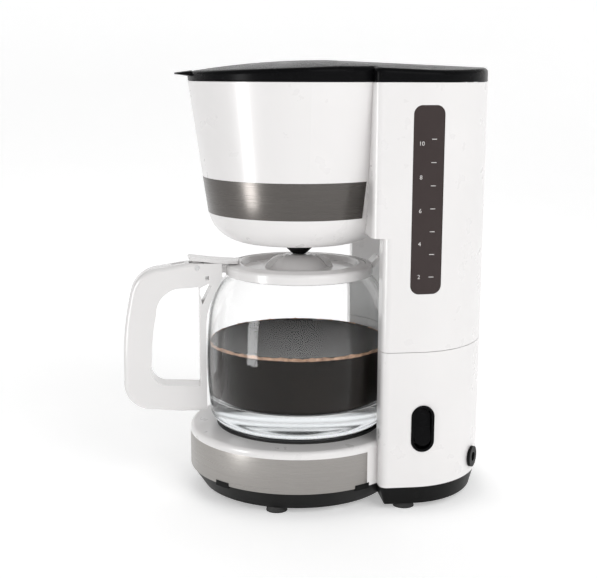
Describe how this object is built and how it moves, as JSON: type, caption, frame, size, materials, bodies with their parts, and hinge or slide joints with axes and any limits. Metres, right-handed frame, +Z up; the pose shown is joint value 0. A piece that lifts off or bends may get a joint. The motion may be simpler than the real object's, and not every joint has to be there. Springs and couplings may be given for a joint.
{
  "type": "drip coffee maker",
  "caption": "Drip coffee maker: round brewing head over a glass carafe on a warming plate, water tank tower behind, steel trim bands.",
  "frame": {"origin": "middle of the machine's footprint box, on the surface it stands on", "axes": "+Z up, -Y towards the front where the carafe's handle points, +X towards the side with the water gauge and the switch"},
  "size_m": [0.1675, 0.278, 0.3303],
  "materials": {
    "white_shell": "satin gloss",
    "white_handle": "gloss",
    "black_lid": "satin gloss",
    "black_base": "fine matt",
    "inner_plastic": "fine matt",
    "band_steel": "brushed along the strip",
    "smoked_window": "polished smoked plastic",
    "carafe_glass": "clear",
    "plate_coating": "non-stick coating",
    "seal_rubber": "matt",
    "foot_rubber": "matt",
    "cast_aluminium": "as cast",
    "steel": "bright",
    "hose_silicone": "matt",
    "wire_cover": "woven sleeve",
    "mesh_nylon": "fine woven mesh",
    "valve_ball": "matt"
  },
  "bodies": {
    "housing": {"upper_housing": "white_shell", "lower_housing": "white_shell", "bottom_pan": "black_base", "rubber_feet": "foot_rubber", "pan_screws": "steel", "housing_screws": "steel", "head_trim_band": "band_steel", "base_trim_band": "band_steel", "gauge_window": "smoked_window", "gauge_seal": "seal_rubber", "cord_gland": "black_base", "cord_clamp": "inner_plastic", "terminal_block": "inner_plastic", "switch_bezel": "black_lid", "switch_body": "inner_plastic", "warming_plate": "plate_coating", "plate_seal_ring": "seal_rubber", "heater_casting": "cast_aluminium", "heater_element": "steel", "heater_clamp": "steel", "heater_nut": "steel", "thermostat": "steel", "thermal_fuses": "wire_cover", "heater_leads": "wire_cover", "tank_strainer": "inner_plastic", "check_valve_body": "inner_plastic", "cold_water_hose": "hose_silicone", "hot_water_hose": "hose_silicone", "hose_clips": "steel", "riser_tube": "inner_plastic", "water_spreader": "inner_plastic", "filter_basket": "inner_plastic", "basket_bail": "steel", "filter_frame": "inner_plastic", "filter_mesh": "mesh_nylon", "lid_hinge_pin": "steel"},
    "lid": {"lid_shell": "black_lid", "lid_inner_panel": "inner_plastic"},
    "carafe": {"carafe_glass": "carafe_glass", "carafe_collar": "white_handle", "handle_grip": "white_handle", "handle_spine": "white_handle", "handle_screws": "steel", "carafe_lid": "white_handle", "carafe_lid_lever": "white_handle", "carafe_lid_pin": "steel"},
    "drip_stop": {"drip_stop_valve": "black_base", "drip_stop_seal": "seal_rubber", "drip_stop_spring": "steel"},
    "rocker": {"switch_rocker": "black_lid"},
    "valve_ball": {"check_valve_ball": "valve_ball"}
  },
  "joints": [
    {"name": "lid_hinge", "type": "hinge", "parent": "housing", "child": "lid", "pos_m": [0, 0.13355, 0.319], "axis": [-1, 0, 0], "range_deg": [0, 85]},
    {"name": "carafe_slide", "type": "slide", "parent": "housing", "child": "carafe", "axis": [0, -1, 0], "range_m": [0, 0.2]},
    {"name": "drip_stop_lift", "type": "slide", "parent": "housing", "child": "drip_stop", "axis": [0, 0, 1], "range_m": [0, 0.004], "stiffness_N_per_m": 300, "springref_m": -0.005, "deforming": ["drip_stop_spring"]},
    {"name": "power_rocker", "type": "hinge", "parent": "housing", "child": "rocker", "pos_m": [0.07, 0.08005, 0.0634], "axis": [0, 1, 0], "range_deg": [0, 16]},
    {"name": "check_ball_lift", "type": "slide", "parent": "housing", "child": "valve_ball", "axis": [0, 0, 1], "range_m": [0, 0.005]}
  ]
}
